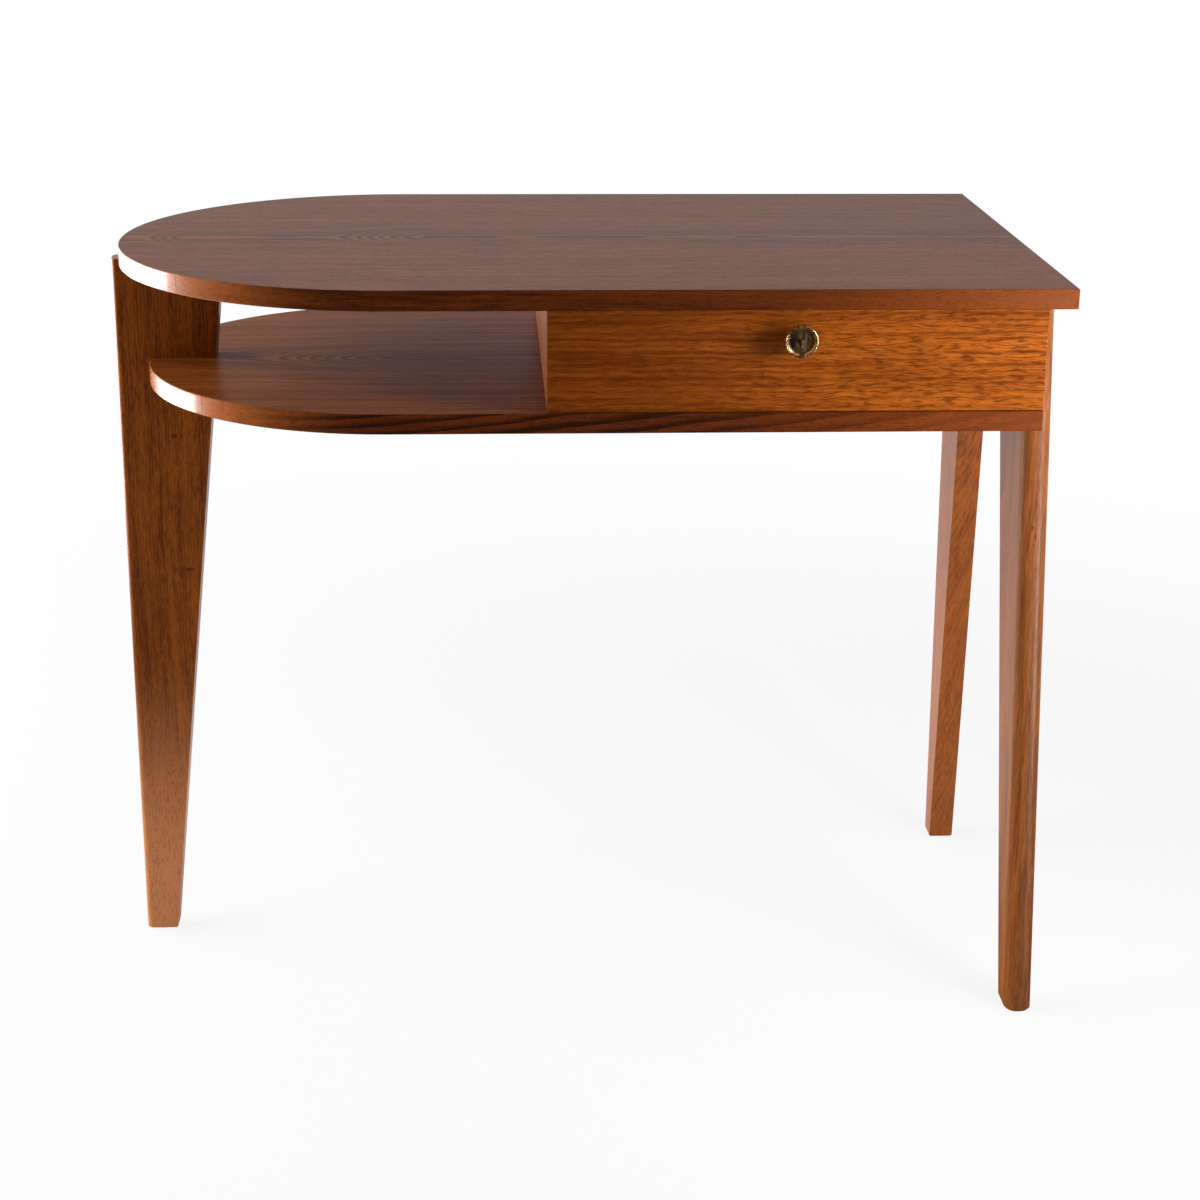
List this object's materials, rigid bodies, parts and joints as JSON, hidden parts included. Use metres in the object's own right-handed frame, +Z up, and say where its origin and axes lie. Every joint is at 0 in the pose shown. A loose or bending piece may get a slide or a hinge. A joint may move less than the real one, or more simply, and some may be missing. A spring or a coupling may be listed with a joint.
{
  "type": "tripod writing desk",
  "caption": "Three-legged oak writing desk with a D-shaped top over a matching open shelf, one locking drawer, a broad tapered leg at the rounded end and two splayed legs.",
  "frame": {"origin": "on the floor, under the middle of the space that the desk takes up with its key in the lock", "axes": "+Z up, +X to the right along the desk from its rounded end to its square end, +Y to the back; the drawer front faces -Y"},
  "size_m": [0.9294, 0.5566, 0.76],
  "materials": {
    "oak_top": "varnished oak veneer",
    "oak_edge": "varnished oak lipping",
    "oak": "varnished solid oak",
    "beech": "bare planed beech",
    "plywood": "bare sanded plywood",
    "brass": "aged polished brass",
    "steel": "bright zinc-plated steel",
    "lock_steel": "dull pressed steel",
    "key_metal": "tarnished nickel-brass",
    "glide": "off-white nylon"
  },
  "bodies": {
    "desk": {"top_panel": "oak_top", "top_edge_band": "oak_edge", "shelf_panel": "oak_top", "shelf_edge_band": "oak_edge", "divider_panel": "oak", "end_panel": "oak", "back_panel": "oak", "left_leg": "oak", "front_leg": "oak", "back_leg": "oak", "case_dowels": "beech", "leg_dowels": "beech", "leg_screws": "steel", "foot_glides": "glide", "runner_left": "beech", "runner_right": "beech", "runner_screws": "steel", "strike_plate": "brass", "strike_screws": "brass"},
    "drawer": {"drawer_front": "oak", "drawer_side_left": "beech", "drawer_side_right": "beech", "drawer_back": "beech", "drawer_bottom": "plywood", "bottom_nails": "steel", "knob": "brass", "lock_case": "lock_steel", "lock_plate": "lock_steel", "lock_screws": "steel"},
    "bolt": {"lock_bolt": "brass"},
    "plug": {"lock_plug": "brass"},
    "key": {"key": "key_metal"}
  },
  "joints": [
    {"name": "drawer_slide", "type": "slide", "parent": "desk", "child": "drawer", "axis": [0, -1, 0], "range_m": [0, 0.3]},
    {"name": "key_turn", "type": "hinge", "parent": "drawer", "child": "plug", "pos_m": [0.19775, -0.23775, 0.711], "axis": [0, 1, 0], "range_deg": [0, 180]},
    {"name": "key_draw", "type": "slide", "parent": "plug", "child": "key", "axis": [0, -1, 0], "range_m": [0, 0.018]},
    {"name": "bolt_throw", "type": "slide", "parent": "drawer", "child": "bolt", "axis": [0, 0, 1], "range_m": [0, 0.008]}
  ],
  "couplings": [
    {"joint": "key_turn", "follows": "bolt_throw", "rad_per_m": 392.69}
  ]
}
